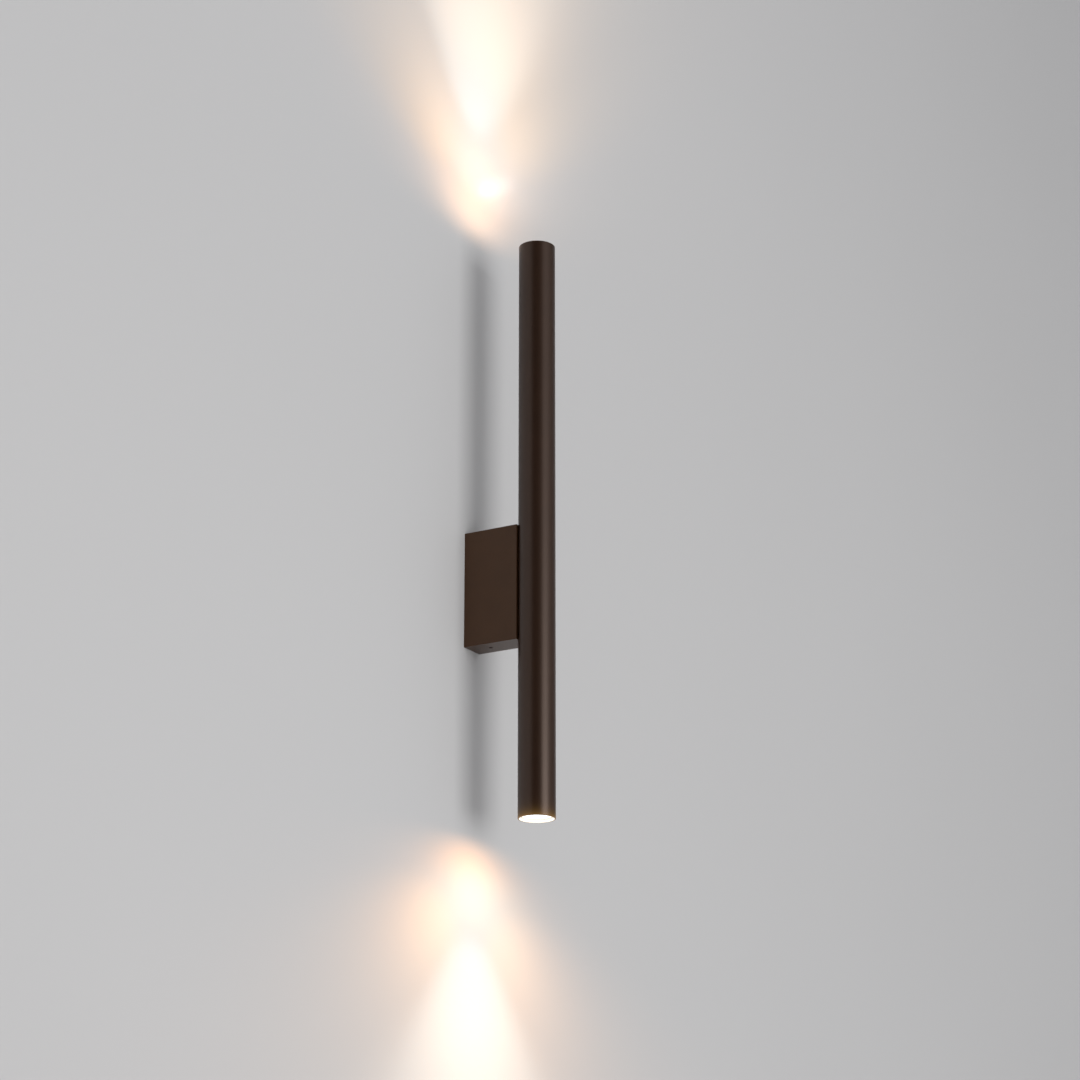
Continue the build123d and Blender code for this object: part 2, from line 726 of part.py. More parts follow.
def led_chip():
    """Square LED package with its dome."""
    package = block(chip_size, -chip_size / 2, chip_size / 2, chip_inset, board_inset)
    dome = Pos(0, 0, chip_inset) * Sphere(dome_radius)
    dome &= rod_z(dome_radius, chip_inset - dome_radius, board_inset)
    return package + dome


def heat_sink():
    """Turned slug: spigot for the cap, groove for the O-ring, ring fins, and a way through for the lead."""
    spigot_radius = cap_bore_radius - thread_gap
    shoulder = sink_inset + spigot_length
    sink = rod_z(spigot_radius, sink_inset, shoulder) + rod_z(cap_radius, shoulder, sink_end_inset)
    groove_low = shoulder + ring_from_spigot
    groove_high = groove_low + 2 * ring_radius + fit_gap
    sink -= ring_cut(bore_radius - 2 * ring_radius - thread_gap, groove_low, groove_high)
    for fin in range(fin_count):
        high = sink_end_inset - fin_thickness - fin * (fin_gap + fin_thickness)
        sink -= ring_cut(cap_radius - fin_depth, high - fin_gap, high)
    for x in (board_screw_place, -board_screw_place):
        tapped_end = board_inset + board_screw_length + thread_gap
        sink -= rod_z(m2_radius + thread_gap, sink_inset, tapped_end, x=x)
    return sink - rod_z(lead_hole_radius, sink_inset, sink_end_inset, depth=lead_hole_place)


def ring_cut(floor_radius, low, high):
    """A ring that cuts a groove down to a floor radius between two insets."""
    return rod_z(bore_radius, low, high) - rod_z(floor_radius, low, high)


def seal_ring():
    """O-ring that grips the tube's bore and holds the light engine in place."""
    middle = sink_inset + spigot_length + ring_from_spigot + ring_radius + fit_gap / 2
    return Pos(0, 0, middle) * Torus(bore_radius - ring_radius - thread_gap / 2, ring_radius)


def board_screw_pair():
    """The two small screws of one LED board."""
    screw = cap_screw(m2_radius, m2_head_radius, m2_head_height, board_screw_length)
    screw = Rot(180, 0, 0) * screw
    return [Pos(x, 0, board_inset) * screw for x in (board_screw_place, -board_screw_place)]


def at_lower_end(piece):
    """Set a piece that is drawn from the tube's end inward into the lower end."""
    return Pos(0, -axis_depth, tube_low) * piece


def at_upper_end(piece):
    """The same for the upper end, turned over."""
    return Pos(0, -axis_depth, tube_high) * Rot(0, 180, 0) * piece


def board_screws():
    pair = board_screw_pair()
    lower = [at_lower_end(screw) for screw in pair]
    upper = [at_upper_end(screw) for screw in pair]
    return Compound(children=lower + upper)


# ---------------------------------------------------------------- leads

def supply_leads():
    """Live and neutral: up out of the terminal block, over, and down into the driver's upper end."""
    start, end = block_high - lead_in_block, driver_half_length - driver_wall
    loop_height = driver_half_length + (driver_lead_depth - pole_depth) / 2 + supply_lead_radius
    bend = lead_bend_share * (driver_lead_depth - pole_depth)
    wires = []
    for x in (pole_places()[0], pole_places()[-1]):
        points = [(x, -pole_depth, start), (x, -pole_depth, loop_height),
                  (x, -driver_lead_depth, loop_height), (x, -driver_lead_depth, end)]
        wires.append(lead("supply lead", supply_lead_radius, points, [bend, bend]))
    return Compound(children=wires)


def earth_lead():
    """Earth: up out of the middle pole and back to the lug on the plate."""
    start, end = block_high - lead_in_block, lug_barrel_low + lug_barrel_length
    first_turn = foot_screw_height + m3_head_radius
    second_turn = lug_barrel_low - earth_lead_straight
    points = [(0, -pole_depth, start), (0, -pole_depth, first_turn),
              (0, -lug_barrel_depth, second_turn), (0, -lug_barrel_depth, end)]
    return lead("earth lead", supply_lead_radius, points, earth_lead_bends)


def light_lead(name, x, end):
    """From the driver's lower end through the bush and across the tube, then along it to a light."""
    start = -(driver_half_length - driver_wall)
    points = [(x, -driver_lead_depth, start), (x, -driver_lead_depth, bush_height),
              (x, -lead_run_depth, bush_height), (x, -lead_run_depth, end)]
    first_bend = lead_bend_share * abs(bush_height - start)
    second_bend = lead_bend_share * (lead_run_depth - driver_lead_depth)
    return lead(name, light_lead_radius, points, [first_bend, second_bend])


# ---------------------------------------------------------------- build

def save(name, piece):
    """Write one named piece as a STEP file."""
    export_step(piece, f"parts/{name}.step")


def build():
    os.makedirs("parts", exist_ok=True)

    save("wall_plate", wall_plate())
    save("cable_grommet", cable_grommet())
    save("terminal_block", terminal_block())
    save("terminal_barrels", terminal_barrels())
    save("terminal_screws", terminal_screws())
    save("terminal_foot_screw", terminal_foot_screw())
    save("earth_lug", earth_lug())
    save("earth_screw", earth_screw())

    save("wall_box", wall_box())
    save("box_fixing_screws", box_fixing_screws())

    save("driver_case", driver_case())
    save("driver_lid", driver_lid())
    save("driver_board", driver_board())
    save("driver_transformer", driver_transformer())
    save("driver_capacitors", driver_capacitors())
    save("driver_screws", driver_screws())

    save("tube", tube())
    save("tube_nut_bar", tube_nut_bar())
    save("tube_washers", tube_washers())
    save("tube_screws", tube_screws())
    save("lead_bush", lead_bush())

    engine = {
        "heat_sink": heat_sink(),
        "seal_ring": seal_ring(),
        "led_board": led_board(),
        "led_chip": led_chip(),
        "lens_holder": lens_holder(),
        "lens": lens(),
        "cover_glass": cover_glass(),
        "lens_cap": lens_cap(),
    }
    for name, piece in engine.items():
        save(f"lower_{name}", at_lower_end(piece))
        save(f"upper_{name}", at_upper_end(piece))
    save("board_screws", board_screws())

    save("supply_leads", supply_leads())
    save("earth_lead", earth_lead())
    save("upper_lead", light_lead("upper lead", light_lead_spread, tube_high - board_inset - fit_gap))
    save("lower_lead", light_lead("lower lead", -light_lead_spread, tube_low + board_inset + fit_gap))


build()
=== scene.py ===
"""Tube wall light: materials, room, lamps and camera.

Row frame, in metres: +Z is up, the wall is the plane Y = 0 and the light faces -Y.
"""

import math
from typing import NamedTuple

import bpy
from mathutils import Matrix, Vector

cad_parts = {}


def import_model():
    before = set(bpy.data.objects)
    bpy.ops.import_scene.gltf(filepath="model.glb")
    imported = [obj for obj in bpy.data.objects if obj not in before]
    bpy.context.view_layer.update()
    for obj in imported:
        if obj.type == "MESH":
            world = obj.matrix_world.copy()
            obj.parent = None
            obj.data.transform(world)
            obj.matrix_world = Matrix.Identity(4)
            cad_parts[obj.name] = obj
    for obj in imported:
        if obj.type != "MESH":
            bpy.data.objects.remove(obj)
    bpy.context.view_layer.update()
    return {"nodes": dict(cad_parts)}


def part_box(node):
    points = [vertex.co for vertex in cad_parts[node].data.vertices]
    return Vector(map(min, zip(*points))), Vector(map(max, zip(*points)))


MM = 0.001

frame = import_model()
NODES = frame["nodes"]


# ---------------------------------------------------------------- places, read from the frame

def centre(node):
    """The middle of a CAD node's box."""
    low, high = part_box(node)
    return (low + high) / 2


TUBE_LOW, TUBE_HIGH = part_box("tube")
TUBE_AXIS = centre("tube")
BOX_LOW, BOX_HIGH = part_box("wall_box")
GLASS_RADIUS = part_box("lower_cover_glass")[1].x - centre("lower_cover_glass").x
BORE_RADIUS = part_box("lower_seal_ring")[1].x - TUBE_AXIS.x      # the ring fills the tube's bore


# ---------------------------------------------------------------- colours (linear)

# Lit and shaded copies of one real coat: the box's is painted about twice as light and redder, as painted
# light on its sides; the tube's is the darker copy.
TUBE_PAINT_SHADED_COPY = (0.0195, 0.0080, 0.0037)
BOX_PAINT_LIT_COPY = (0.0440, 0.0185, 0.0062)
PAINT_GLOSS = (1.0, 0.80, 0.70)  # tint of the paint's soft reflections
PAINTED_BORE_LIGHT = (1.0, 0.95, 0.84)      # painted light: the LED's light on the tube's bore beside the glass, given as the paint's own glow
PAINTED_RIM_GLARE = (1.0, 0.55, 0.12)     # painted glare: a faint glow painted round the lower rim, standing in for glare from the lit window
GLASS = (0.90, 0.90, 0.88)
GLASS_COOL = (0.93, 0.97, 1.0)   # the lit window's middle
GLASS_WARM = (1.0, 0.90, 0.74)   # and its rim
PHOSPHOR = (0.85, 0.62, 0.14)
PHOSPHOR_PALE = (0.90, 0.74, 0.26)
PHOSPHOR_GLOW = (1.0, 0.80, 0.50)
ACRYLIC = (0.96, 0.97, 0.97)

ZINC = (0.56, 0.56, 0.55)
ZINC_CLOUD = (0.50, 0.51, 0.53)
STEEL_DARK = (0.045, 0.040, 0.037)
STEEL_WORN = (0.16, 0.15, 0.145)
BRASS = (0.66, 0.46, 0.18)
BRASS_DULL = (0.58, 0.38, 0.13)
ALUMINIUM = (0.76, 0.76, 0.77)
ALUMINIUM_DULL = (0.68, 0.69, 0.71)

RUBBER = (0.020, 0.020, 0.021)
RUBBER_BLOOM = (0.034, 0.034, 0.035)
WHITE_MOULDING = (0.78, 0.77, 0.74)
WHITE_DRIFT = (0.74, 0.72, 0.68)
GREY_MOULDING = (0.60, 0.60, 0.58)
GREY_DRIFT = (0.56, 0.56, 0.55)
BLACK_MOULDING = (0.024, 0.024, 0.026)
BLACK_DRIFT = (0.034, 0.034, 0.037)
BOARD_WHITE = (0.76, 0.76, 0.74)
BOARD_WHITE_DRIFT = (0.72, 0.72, 0.71)
BOARD_GREEN = (0.018, 0.115, 0.045)
BOARD_TRACK = (0.030, 0.175, 0.070)
FERRITE = (0.040, 0.040, 0.045)
FERRITE_SPECK = (0.075, 0.075, 0.082)
WINDING_TAPE = (0.62, 0.40, 0.05)
SLEEVE = (0.016, 0.022, 0.055)
SLEEVE_DRIFT = (0.024, 0.032, 0.075)
FILM_RED = (0.30, 0.035, 0.020)
LIVE_BROWN = (0.12, 0.050, 0.025)
NEUTRAL_BLUE = (0.020, 0.095, 0.36)
EARTH_GREEN = (0.030, 0.30, 0.050)
EARTH_YELLOW = (0.80, 0.62, 0.04)
LEAD_WHITE = (0.62, 0.62, 0.60)
LEAD_DRIFT = (0.56, 0.56, 0.54)

WALL_COLOUR = (0.524, 0.527, 0.536)
FLOOR_COLOUR = (0.70, 0.69, 0.68)
ROOM_COLOUR = (0.985, 0.985, 1.0)
KEY_COLOUR = (1.0, 0.985, 0.965)


# ---------------------------------------------------------------- shader helpers

WAVE_PERIOD = 0.31               # length of one band of Blender's wave texture at scale 1
MIX_FIRST, MIX_SECOND = 6, 7     # the colour inputs of Blender's mix node
MIX_RESULT = 2                   # and its colour output


class Shader:
    """A material with a Principled BSDF, and short calls that add what feeds it."""

    def __init__(self, name, colour, roughness, metallic=0.0, specular=0.5):
        self.material = bpy.data.materials.new(name)
        self.material.use_nodes = True
        self.tree = self.material.node_tree
        self.bsdf = self.tree.nodes["Principled BSDF"]
        self.place = self.add("ShaderNodeTexCoord").outputs["Object"]
        self.set("Base Color", (*colour, 1.0))
        self.set("Roughness", roughness)
        self.set("Metallic", metallic)
        self.set("Specular IOR Level", specular)
        self.height = None

    def add(self, kind, **settings):
        """A new node; settings are its own properties."""
        node = self.tree.nodes.new(kind)
        for key, value in settings.items():
            setattr(node, key, value)
        return node

    def set(self, socket, value):
        """Give one of the BSDF's inputs a constant."""
        self.bsdf.inputs[socket].default_value = value

    def join(self, source, target):
        """Link an output to an input."""
        self.tree.links.new(source, target)

    def feed(self, socket, source):
        """Link an output to one of the BSDF's inputs."""
        self.join(source, self.bsdf.inputs[socket])

    def noise(self, size, detail=3.0, stretch=(1, 1, 1)):
        """Noise with features of about one size, in metres, stretched along the axes."""
        mapping = self.add("ShaderNodeMapping")
        mapping.inputs["Scale"].default_value = [1 / part for part in stretch]
        self.join(self.place, mapping.inputs["Vector"])
        noise = self.add("ShaderNodeTexNoise")
        noise.inputs["Scale"].default_value = 1 / size
        noise.inputs["Detail"].default_value = detail
        self.join(mapping.outputs["Vector"], noise.inputs["Vector"])
        return noise.outputs["Fac"]

    def cells(self, size):
        """Rounded cells of one size, in metres."""
        cells = self.add("ShaderNodeTexVoronoi", feature="SMOOTH_F1")
        cells.inputs["Scale"].default_value = 1 / size
        self.join(self.place, cells.inputs["Vector"])
        return cells.outputs["Distance"]

    def rings(self, size, axis="Z", distortion=0.0):
        """Fine bands across an axis, as a lathe or a roller leaves them."""
        wave = self.add("ShaderNodeTexWave", wave_type="BANDS", bands_direction=axis)
        wave.inputs["Scale"].default_value = WAVE_PERIOD / size
        wave.inputs["Distortion"].default_value = distortion
        self.join(self.place, wave.inputs["Vector"])
        return wave.outputs["Fac"]

    def axis(self, name):
        """One coordinate of the point on the surface, in metres."""
        split = self.add("ShaderNodeSeparateXYZ")
        self.join(self.place, split.inputs["Vector"])
        return split.outputs[name]

    def from_axis(self, middle):
        """The distance from an upright axis, in metres."""
        across = self.maths("SUBTRACT", self.axis("X"), middle.x)
        outward = self.maths("SUBTRACT", self.axis("Y"), middle.y)
        squares = self.maths("ADD", self.maths("POWER", across, 2), self.maths("POWER", outward, 2))
        return self.maths("SQRT", squares)

    def maths(self, operation, first, second=None):
        """Arithmetic on sockets or plain numbers."""
        node = self.add("ShaderNodeMath", operation=operation)
        for socket, value in zip(node.inputs, (first, second)):
            if value is None:
                continue
            if isinstance(value, (int, float)):
                socket.default_value = value
            else:
                self.join(value, socket)
        return node.outputs["Value"]

    def spread(self, source, low, high, start=0.3, end=0.7, smooth=False):
        """Map start..end of a source to low..high. Noise lies mostly within 0.3 to 0.7."""
        node = self.add("ShaderNodeMapRange")
        node.interpolation_type = "SMOOTHSTEP" if smooth else "LINEAR"
        for socket, value in zip(("From Min", "From Max", "To Min", "To Max"), (start, end, low, high)):
            node.inputs[socket].default_value = value
        self.join(source, node.inputs["Value"])
        return node.outputs["Result"]

    def mix(self, share, first, second):
        """A colour between two, each a triple or a socket."""
        node = self.add("ShaderNodeMix", data_type="RGBA")
        self.join(share, node.inputs["Factor"])
        for number, value in ((MIX_FIRST, first), (MIX_SECOND, second)):
            if isinstance(value, tuple):
                node.inputs[number].default_value = (*value, 1.0)
            else:
                self.join(value, node.inputs[number])
        return node.outputs[MIX_RESULT]

    def mottle(self, noise, first, second, most=1.0):
        """Let the base colour drift by a noise, from one colour to a share of another."""
        self.feed("Base Color", self.mix(self.spread(noise, 0.0, most), first, second))

    def bump(self, source, depth, strength):
        """Raise the surface by a source, up to a depth in metres; later bumps add to earlier ones."""
        node = self.add("ShaderNodeBump")
        node.inputs["Distance"].default_value = depth
        node.inputs["Strength"].default_value = strength
        self.join(source, node.inputs["Height"])
        if self.height is not None:
            self.join(self.height, node.inputs["Normal"])
        self.height = node.outputs["Normal"]
        self.feed("Normal", self.height)


# ---------------------------------------------------------------- painted pieces

PAINT_DRIFT = 1.16               # how much paler the paint gets in cloudy patches
# Painted light in the tube's paint: its bore beside each glass glows as if lit by the LED.
PAINTED_LIGHT_REACH = 0.4 * MM              # how far the painted light reaches outwards from the bore
PAINTED_LIGHT_DEPTH = 3.0 * MM             # and inwards from the tube's end, to just past the glass's face
PAINTED_LIGHT_STRENGTH = 1.25
# Painted glare: the lower rim's paint glows faintly, as glare round the lit window would look.
PAINTED_GLARE_FADE = 3.4 * MM             # height over which the painted glare on the lower rim falls to about a third
PAINTED_GLARE_STRENGTH = 0.14


def powder_coat(name, paint, specular):
    """Dark brown satin powder coat: a fine orange peel over a very fine grain."""
    coat = Shader(name, paint, roughness=0.34, specular=specular)
    coat.set("Specular Tint", (*PAINT_GLOSS, 1.0))
    patches = coat.noise(size=18 * MM, detail=4.0)
    grain = coat.noise(size=0.16 * MM, detail=2.0)
    peel = coat.cells(size=1.1 * MM)
    coat.mottle(patches, paint, tuple(channel * PAINT_DRIFT for channel in paint))
    coat.feed("Roughness", coat.spread(grain, 0.31, 0.37))
    coat.bump(peel, depth=0.020 * MM, strength=0.35)
    coat.bump(grain, depth=0.010 * MM, strength=0.30)
    return coat


def tube_coat():
    """The powder coat on the tube, in the darker copy of the paint, with painted light: the bore beside each
    glass glows as if lit by its LED, and the lower rim glows faintly as painted glare.
    """
    coat = powder_coat("tube_powder_coat", TUBE_PAINT_SHADED_COPY, specular=0.68)
    # Painted light: the bore beside each glass is masked and glows as if lit by its LED.
    inside = coat.maths("LESS_THAN", coat.from_axis(TUBE_AXIS), BORE_RADIUS + PAINTED_LIGHT_REACH)
    above_end = coat.maths("SUBTRACT", coat.axis("Z"), TUBE_LOW.z)
    below_end = coat.maths("SUBTRACT", TUBE_HIGH.z, coat.axis("Z"))
    nearest = coat.maths("MINIMUM", above_end, below_end)
    beside_glass = coat.maths("LESS_THAN", nearest, PAINTED_LIGHT_DEPTH)
    lit = coat.maths("MULTIPLY", inside, beside_glass)
    # Painted glare: the lower rim's paint glows, fading upwards from the end.
    glare_falloff = coat.maths("EXPONENT", coat.maths("DIVIDE", above_end, -PAINTED_GLARE_FADE))
    coat.feed("Emission Color", coat.mix(lit, PAINTED_RIM_GLARE, PAINTED_BORE_LIGHT))
    glow = coat.maths("MULTIPLY", glare_falloff, PAINTED_GLARE_STRENGTH)
    bright = coat.maths("MULTIPLY", lit, PAINTED_LIGHT_STRENGTH)
    coat.feed("Emission Strength", coat.maths("MAXIMUM", glow, bright))
    return coat


# ---------------------------------------------------------------- metals and rubber

def zinc_plate():
    """Rolled steel with bright zinc plate, drawn lengthways, with a cloudy spangle."""
    steel = Shader("zinc_plated_steel", ZINC, roughness=0.34, metallic=1.0)
    cloud = steel.noise(size=5 * MM, detail=5.0)
    drawn = steel.noise(size=0.35 * MM, stretch=(1, 1, 30))
    steel.mottle(cloud, ZINC, ZINC_CLOUD)
    steel.feed("Roughness", steel.spread(drawn, 0.28, 0.42))
    steel.bump(drawn, depth=0.006 * MM, strength=0.4)
    return steel


def blackened_steel():
    """Oil-blackened grub screw with a slightly worn socket."""
    steel = Shader("blackened_steel", STEEL_DARK, roughness=0.38, metallic=0.9)
    worn = steel.noise(size=0.8 * MM, detail=4.0)
    steel.mottle(worn, STEEL_DARK, STEEL_WORN, most=0.5)
    steel.feed("Roughness", steel.spread(worn, 0.32, 0.48))
    steel.bump(worn, depth=0.008 * MM, strength=0.4)
    return steel


def turned_brass():
    """Bright brass with fine turning rings."""
    brass = Shader("turned_brass", BRASS, roughness=0.26, metallic=1.0)
    rings = brass.rings(size=0.18 * MM)
    brass.mottle(brass.noise(size=2.5 * MM), BRASS, BRASS_DULL)
    brass.feed("Roughness", brass.spread(rings, 0.20, 0.32, start=0.0, end=1.0))
    brass.bump(rings, depth=0.004 * MM, strength=0.4)
    return brass


def turned_aluminium():
    """Bare aluminium with fine turning rings."""
    metal = Shader("turned_aluminium", ALUMINIUM, roughness=0.32, metallic=1.0)
    rings = metal.rings(size=0.16 * MM, distortion=0.2)
    metal.mottle(metal.noise(size=6 * MM, detail=4.0), ALUMINIUM, ALUMINIUM_DULL)
    metal.feed("Roughness", metal.spread(rings, 0.26, 0.38, start=0.0, end=1.0))
    metal.bump(rings, depth=0.005 * MM, strength=0.5)
    return metal


def matt_rubber():
    """Black rubber with a faint bloom."""
    rubber = Shader("matt_rubber", RUBBER, roughness=0.72, specular=0.35)
    bloom = rubber.noise(size=2.2 * MM, detail=5.0)
    grain = rubber.noise(size=0.12 * MM)
    rubber.mottle(bloom, RUBBER, RUBBER_BLOOM)
    rubber.feed("Roughness", rubber.spread(bloom, 0.66, 0.82))
    rubber.bump(grain, depth=0.012 * MM, strength=0.4)
    return rubber


# ---------------------------------------------------------------- plastics and electrical pieces

WINDING_OVERHANG = 1.6 * MM      # how far the winding stands out of each end of the ferrite core
TAPE_CLEARANCE = 0.02 * MM       # keeps the core's own end faces bare
STRIPE_START = 0.25 * MM         # to the right of the earth lead's middle


def moulding(name, colour, drift, roughness):
    """Moulded plastic with a fine spark texture and a faint drift of colour."""
    plastic = Shader(name, colour, roughness, specular=0.45)
    flow = plastic.noise(size=7 * MM)
    spark = plastic.noise(size=0.14 * MM, detail=2.0)
    plastic.mottle(flow, colour, drift)
    plastic.feed("Roughness", plastic.spread(spark, roughness - 0.05, roughness + 0.06))
    plastic.bump(spark, depth=0.012 * MM, strength=0.35)
    return plastic


def circuit_board():
    """Green solder mask over copper tracks that run lengthways and across."""
    board = Shader("circuit_board", BOARD_GREEN, roughness=0.36)
    along = board.rings(size=1.3 * MM, axis="X", distortion=6.0)
    across = board.rings(size=2.1 * MM, axis="Z", distortion=9.0)
    tracks = board.maths("MAXIMUM", along, across)
    edge = board.spread(tracks, 0.0, 1.0, start=0.86, end=0.92, smooth=True)
    board.feed("Base Color", board.mix(edge, BOARD_GREEN, BOARD_TRACK))
    board.bump(edge, depth=0.035 * MM, strength=0.5)
    return board


def ferrite_and_tape():
    """Dark sintered core, with amber tape round the winding that stands out of it."""
    low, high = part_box("driver_transformer")
    core = Shader("ferrite_and_tape", FERRITE, roughness=0.62, specular=0.35)
    speckle = core.noise(size=0.25 * MM, detail=4.0)
    grey = core.mix(core.spread(speckle, 0.0, 1.0), FERRITE, FERRITE_SPECK)
    above_middle = core.maths("SUBTRACT", core.axis("Z"), centre("driver_transformer").z)
    from_middle = core.maths("ABSOLUTE", above_middle)
    core_half = (high.z - low.z) / 2 - WINDING_OVERHANG
    taped = core.maths("GREATER_THAN", from_middle, core_half + TAPE_CLEARANCE)
    core.feed("Base Color", core.mix(taped, grey, WINDING_TAPE))
    core.feed("Roughness", core.spread(taped, 0.62, 0.30, start=0.0, end=1.0))
    core.bump(speckle, depth=0.02 * MM, strength=0.3)
    return core


def capacitor_skins():
    """Dark blue sleeves on the two cans, and the red dip of the film capacitor above them."""
    skin = Shader("capacitor_skins", SLEEVE, roughness=0.28)
    drift = skin.noise(size=3 * MM)
    sleeve = skin.mix(skin.spread(drift, 0.0, 1.0), SLEEVE, SLEEVE_DRIFT)
    is_film = skin.maths("GREATER_THAN", skin.axis("Z"), centre("driver_transformer").z)
    skin.feed("Base Color", skin.mix(is_film, sleeve, FILM_RED))
    skin.bump(drift, depth=0.05 * MM, strength=0.2)
    return skin


def two_leads():
    """Live and neutral side by side: brown on the left of the middle, blue on the right."""
    lead = Shader("supply_insulation", LIVE_BROWN, roughness=0.38)
    right = lead.maths("GREATER_THAN", lead.axis("X"), 0.0)
    lead.feed("Base Color", lead.mix(right, LIVE_BROWN, NEUTRAL_BLUE))
    return grained(lead)


def striped_lead():
    """Green insulation with a yellow stripe along its right side."""
    lead = Shader("earth_insulation", EARTH_GREEN, roughness=0.38)
    yellow = lead.maths("GREATER_THAN", lead.axis("X"), STRIPE_START)
    lead.feed("Base Color", lead.mix(yellow, EARTH_GREEN, EARTH_YELLOW))
    return grained(lead)


def grained(lead):
    """Give a lead's insulation its fine grain."""
    grain = lead.noise(size=0.3 * MM)
    lead.feed("Roughness", lead.spread(grain, 0.34, 0.44))
    lead.bump(grain, depth=0.01 * MM, strength=0.2)
    return lead


# ---------------------------------------------------------------- lit and clear pieces

GLASS_RING = 1.9 * MM            # from one ring of the lens, seen through the glass, to the next
GLASS_RING_STRENGTH = 0.16
GLASS_STRENGTH_MIDDLE, GLASS_STRENGTH_RIM = 2.6, 1.5
PHOSPHOR_STRENGTH = 4.0


def phosphor():
    """Yellow silicone over the LED, glowing."""
    glow = Shader("led_phosphor", PHOSPHOR, roughness=0.3)
    grain = glow.noise(size=0.15 * MM)
    glow.mottle(grain, PHOSPHOR, PHOSPHOR_PALE)
    glow.set("Emission Color", (*PHOSPHOR_GLOW, 1.0))
    glow.set("Emission Strength", PHOSPHOR_STRENGTH)
    glow.bump(grain, depth=0.01 * MM, strength=0.3)
    return glow


def clear_acrylic():
    """Polished acrylic of the lens, a little hazy on its fine ridges."""
    clear = Shader("clear_acrylic", ACRYLIC, roughness=0.04)
    ridge = clear.rings(size=0.5 * MM)
    clear.set("IOR", 1.49)
    clear.set("Transmission Weight", 1.0)
    clear.feed("Roughness", clear.spread(ridge, 0.03, 0.08, start=0.0, end=1.0))
    clear.bump(ridge, depth=0.01 * MM, strength=0.2)
    return clear


def lit_glass(name, node):
    """The glowing window over a light: cool white in its middle, warmer at its rim, with the lens's rings."""
    glass = Shader(name, GLASS, roughness=0.08)
    radius = glass.from_axis(centre(node))
    share = glass.spread(radius, 0.0, 1.0, start=0.0, end=GLASS_RADIUS)
    rings = glass.maths("SINE", glass.maths("MULTIPLY", radius, 2 * math.pi / GLASS_RING))
    warm = glass.spread(share, 0.0, 1.0, start=0.35, end=1.0, smooth=True)
    glass.feed("Emission Color", glass.mix(warm, GLASS_COOL, GLASS_WARM))
    falloff = glass.spread(share, GLASS_STRENGTH_MIDDLE, GLASS_STRENGTH_RIM, start=0.1, end=1.0, smooth=True)
    ripple = glass.maths("MULTIPLY", rings, GLASS_RING_STRENGTH)
    glass.feed("Emission Strength", glass.maths("ADD", falloff, ripple))
    glass.bump(rings, depth=0.02 * MM, strength=0.25)
    return glass


# ---------------------------------------------------------------- which piece gets which material

def give(shader, slot, *names):
    """Assign one material to CAD nodes; the slot it stands for is not used."""
    for name in names:
        node = NODES[name]
        node.data.materials.clear()
        node.data.materials.append(shader.material)


def both(*names):
    """The lower and the upper one of each light engine piece."""
    return [f"{end}_{name}" for name in names for end in ("lower", "upper")]


def finish_surfaces():
    """Give every CAD node its material."""
    # The box takes the lighter copy of the coat: painted light on its sides.
    give(powder_coat("box_powder_coat_lit_copy", BOX_PAINT_LIT_COPY, specular=0.48), "brown_paint", "wall_box")
    give(tube_coat(), "brown_paint", "tube")
    give(blackened_steel(), "dark_screw", "box_fixing_screws")
    give(zinc_plate(), "zinc_steel", "wall_plate", "earth_lug", "earth_screw", "terminal_foot_screw",
         "terminal_screws", "driver_screws", "tube_screws", "tube_washers", "tube_nut_bar", "board_screws")
    give(turned_brass(), "brass", "terminal_barrels")
    give(matt_rubber(), "black_rubber", "cable_grommet", *both("seal_ring"))
    white = moulding("white_moulding", WHITE_MOULDING, WHITE_DRIFT, roughness=0.50)
    give(white, "white_moulding", "terminal_block", *both("lens_holder", "lens_cap"))
    grey = moulding("grey_moulding", GREY_MOULDING, GREY_DRIFT, roughness=0.55)
    give(grey, "driver_moulding", "driver_case", "driver_lid")
    black = moulding("black_moulding", BLACK_MOULDING, BLACK_DRIFT, roughness=0.46)
    give(black, "black_moulding", "lead_bush")
    give(circuit_board(), "circuit_board", "driver_board")
    board_white = moulding("white_board", BOARD_WHITE, BOARD_WHITE_DRIFT, roughness=0.34)
    give(board_white, "white_board", *both("led_board"))
    give(ferrite_and_tape(), "ferrite", "driver_transformer")
    give(capacitor_skins(), "capacitor_sleeve", "driver_capacitors")
    give(phosphor(), "led_phosphor", *both("led_chip"))
    give(clear_acrylic(), "clear_acrylic", *both("lens"))
    for end in ("lower", "upper"):
        glass = f"{end}_cover_glass"
        give(lit_glass(f"{end}_lit_glass", glass), "lit_glass", glass)
    give(turned_aluminium(), "bare_aluminium", *both("heat_sink"))
    give(two_leads(), "supply_insulation", "supply_leads")
    give(striped_lead(), "earth_insulation", "earth_lead")
    sheath = moulding("light_lead_sheath", LEAD_WHITE, LEAD_DRIFT, roughness=0.44)
    give(sheath, "light_lead_sheath", "upper_lead", "lower_lead")


# ---------------------------------------------------------------- room

WALL_HALF_WIDTH = 9.0
WALL_TOP = 5.0
FLOOR_LEVEL = -2.7
FLOOR_REACH = 14.0
HOLE_MARGIN = 0.6 * MM           # the wall's opening behind the light is this much smaller than the box
ROOM_DRIFT = 1.03                # how much paler the wall and the floor get in large patches
ROOM_DRIFT_SIZE = 0.9
ROOM_SEEN = 0.55                 # the room's level as the camera, gloss and glass see it
ROOM_FILL = 0.54                 # and as it lights matt surfaces


